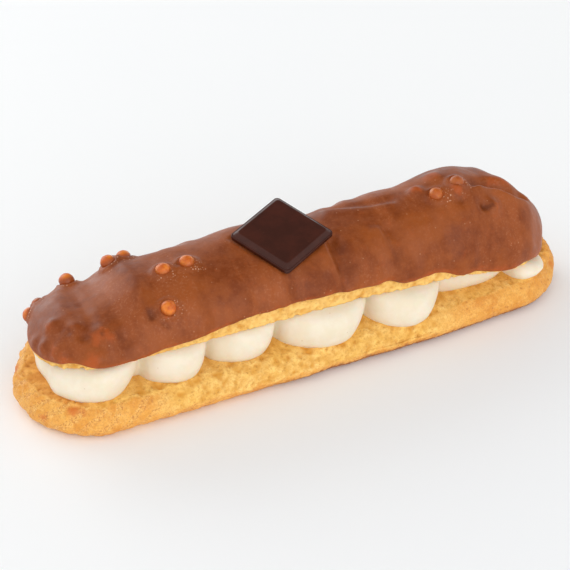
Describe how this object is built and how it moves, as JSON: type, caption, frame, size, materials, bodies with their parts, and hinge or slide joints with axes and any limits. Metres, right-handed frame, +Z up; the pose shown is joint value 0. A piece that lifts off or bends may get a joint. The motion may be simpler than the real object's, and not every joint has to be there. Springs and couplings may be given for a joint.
{
  "type": "chocolate eclair",
  "caption": "Long choux bun split lengthwise and filled with piped lobes of vanilla cream, its top glazed with milk chocolate, set with crisp pearls and a small dark chocolate square.",
  "frame": {"origin": "centre of the underside, on the surface that the eclair rests on", "axes": "+X along the eclair, +Y to its back, +Z up"},
  "size_m": [0.1511, 0.0418, 0.0388],
  "materials": {
    "choux": "golden baked choux crust, dry, with a porous cut face and browner bubbles",
    "cream": "ivory piped vanilla cream, moist satin with fine specks",
    "crumb": "pale open choux crumb, dry",
    "glaze": "satin milk chocolate glaze with caramel-coloured crisp pearls",
    "dark_chocolate": "satin dark chocolate with bevelled edges"
  },
  "bodies": {
    "root": {"choux_base": "choux", "vanilla_cream": "cream", "choux_lid": "crumb", "milk_chocolate_glaze": "glaze", "dark_chocolate_plaque": "dark_chocolate"}
  },
  "joints": []
}
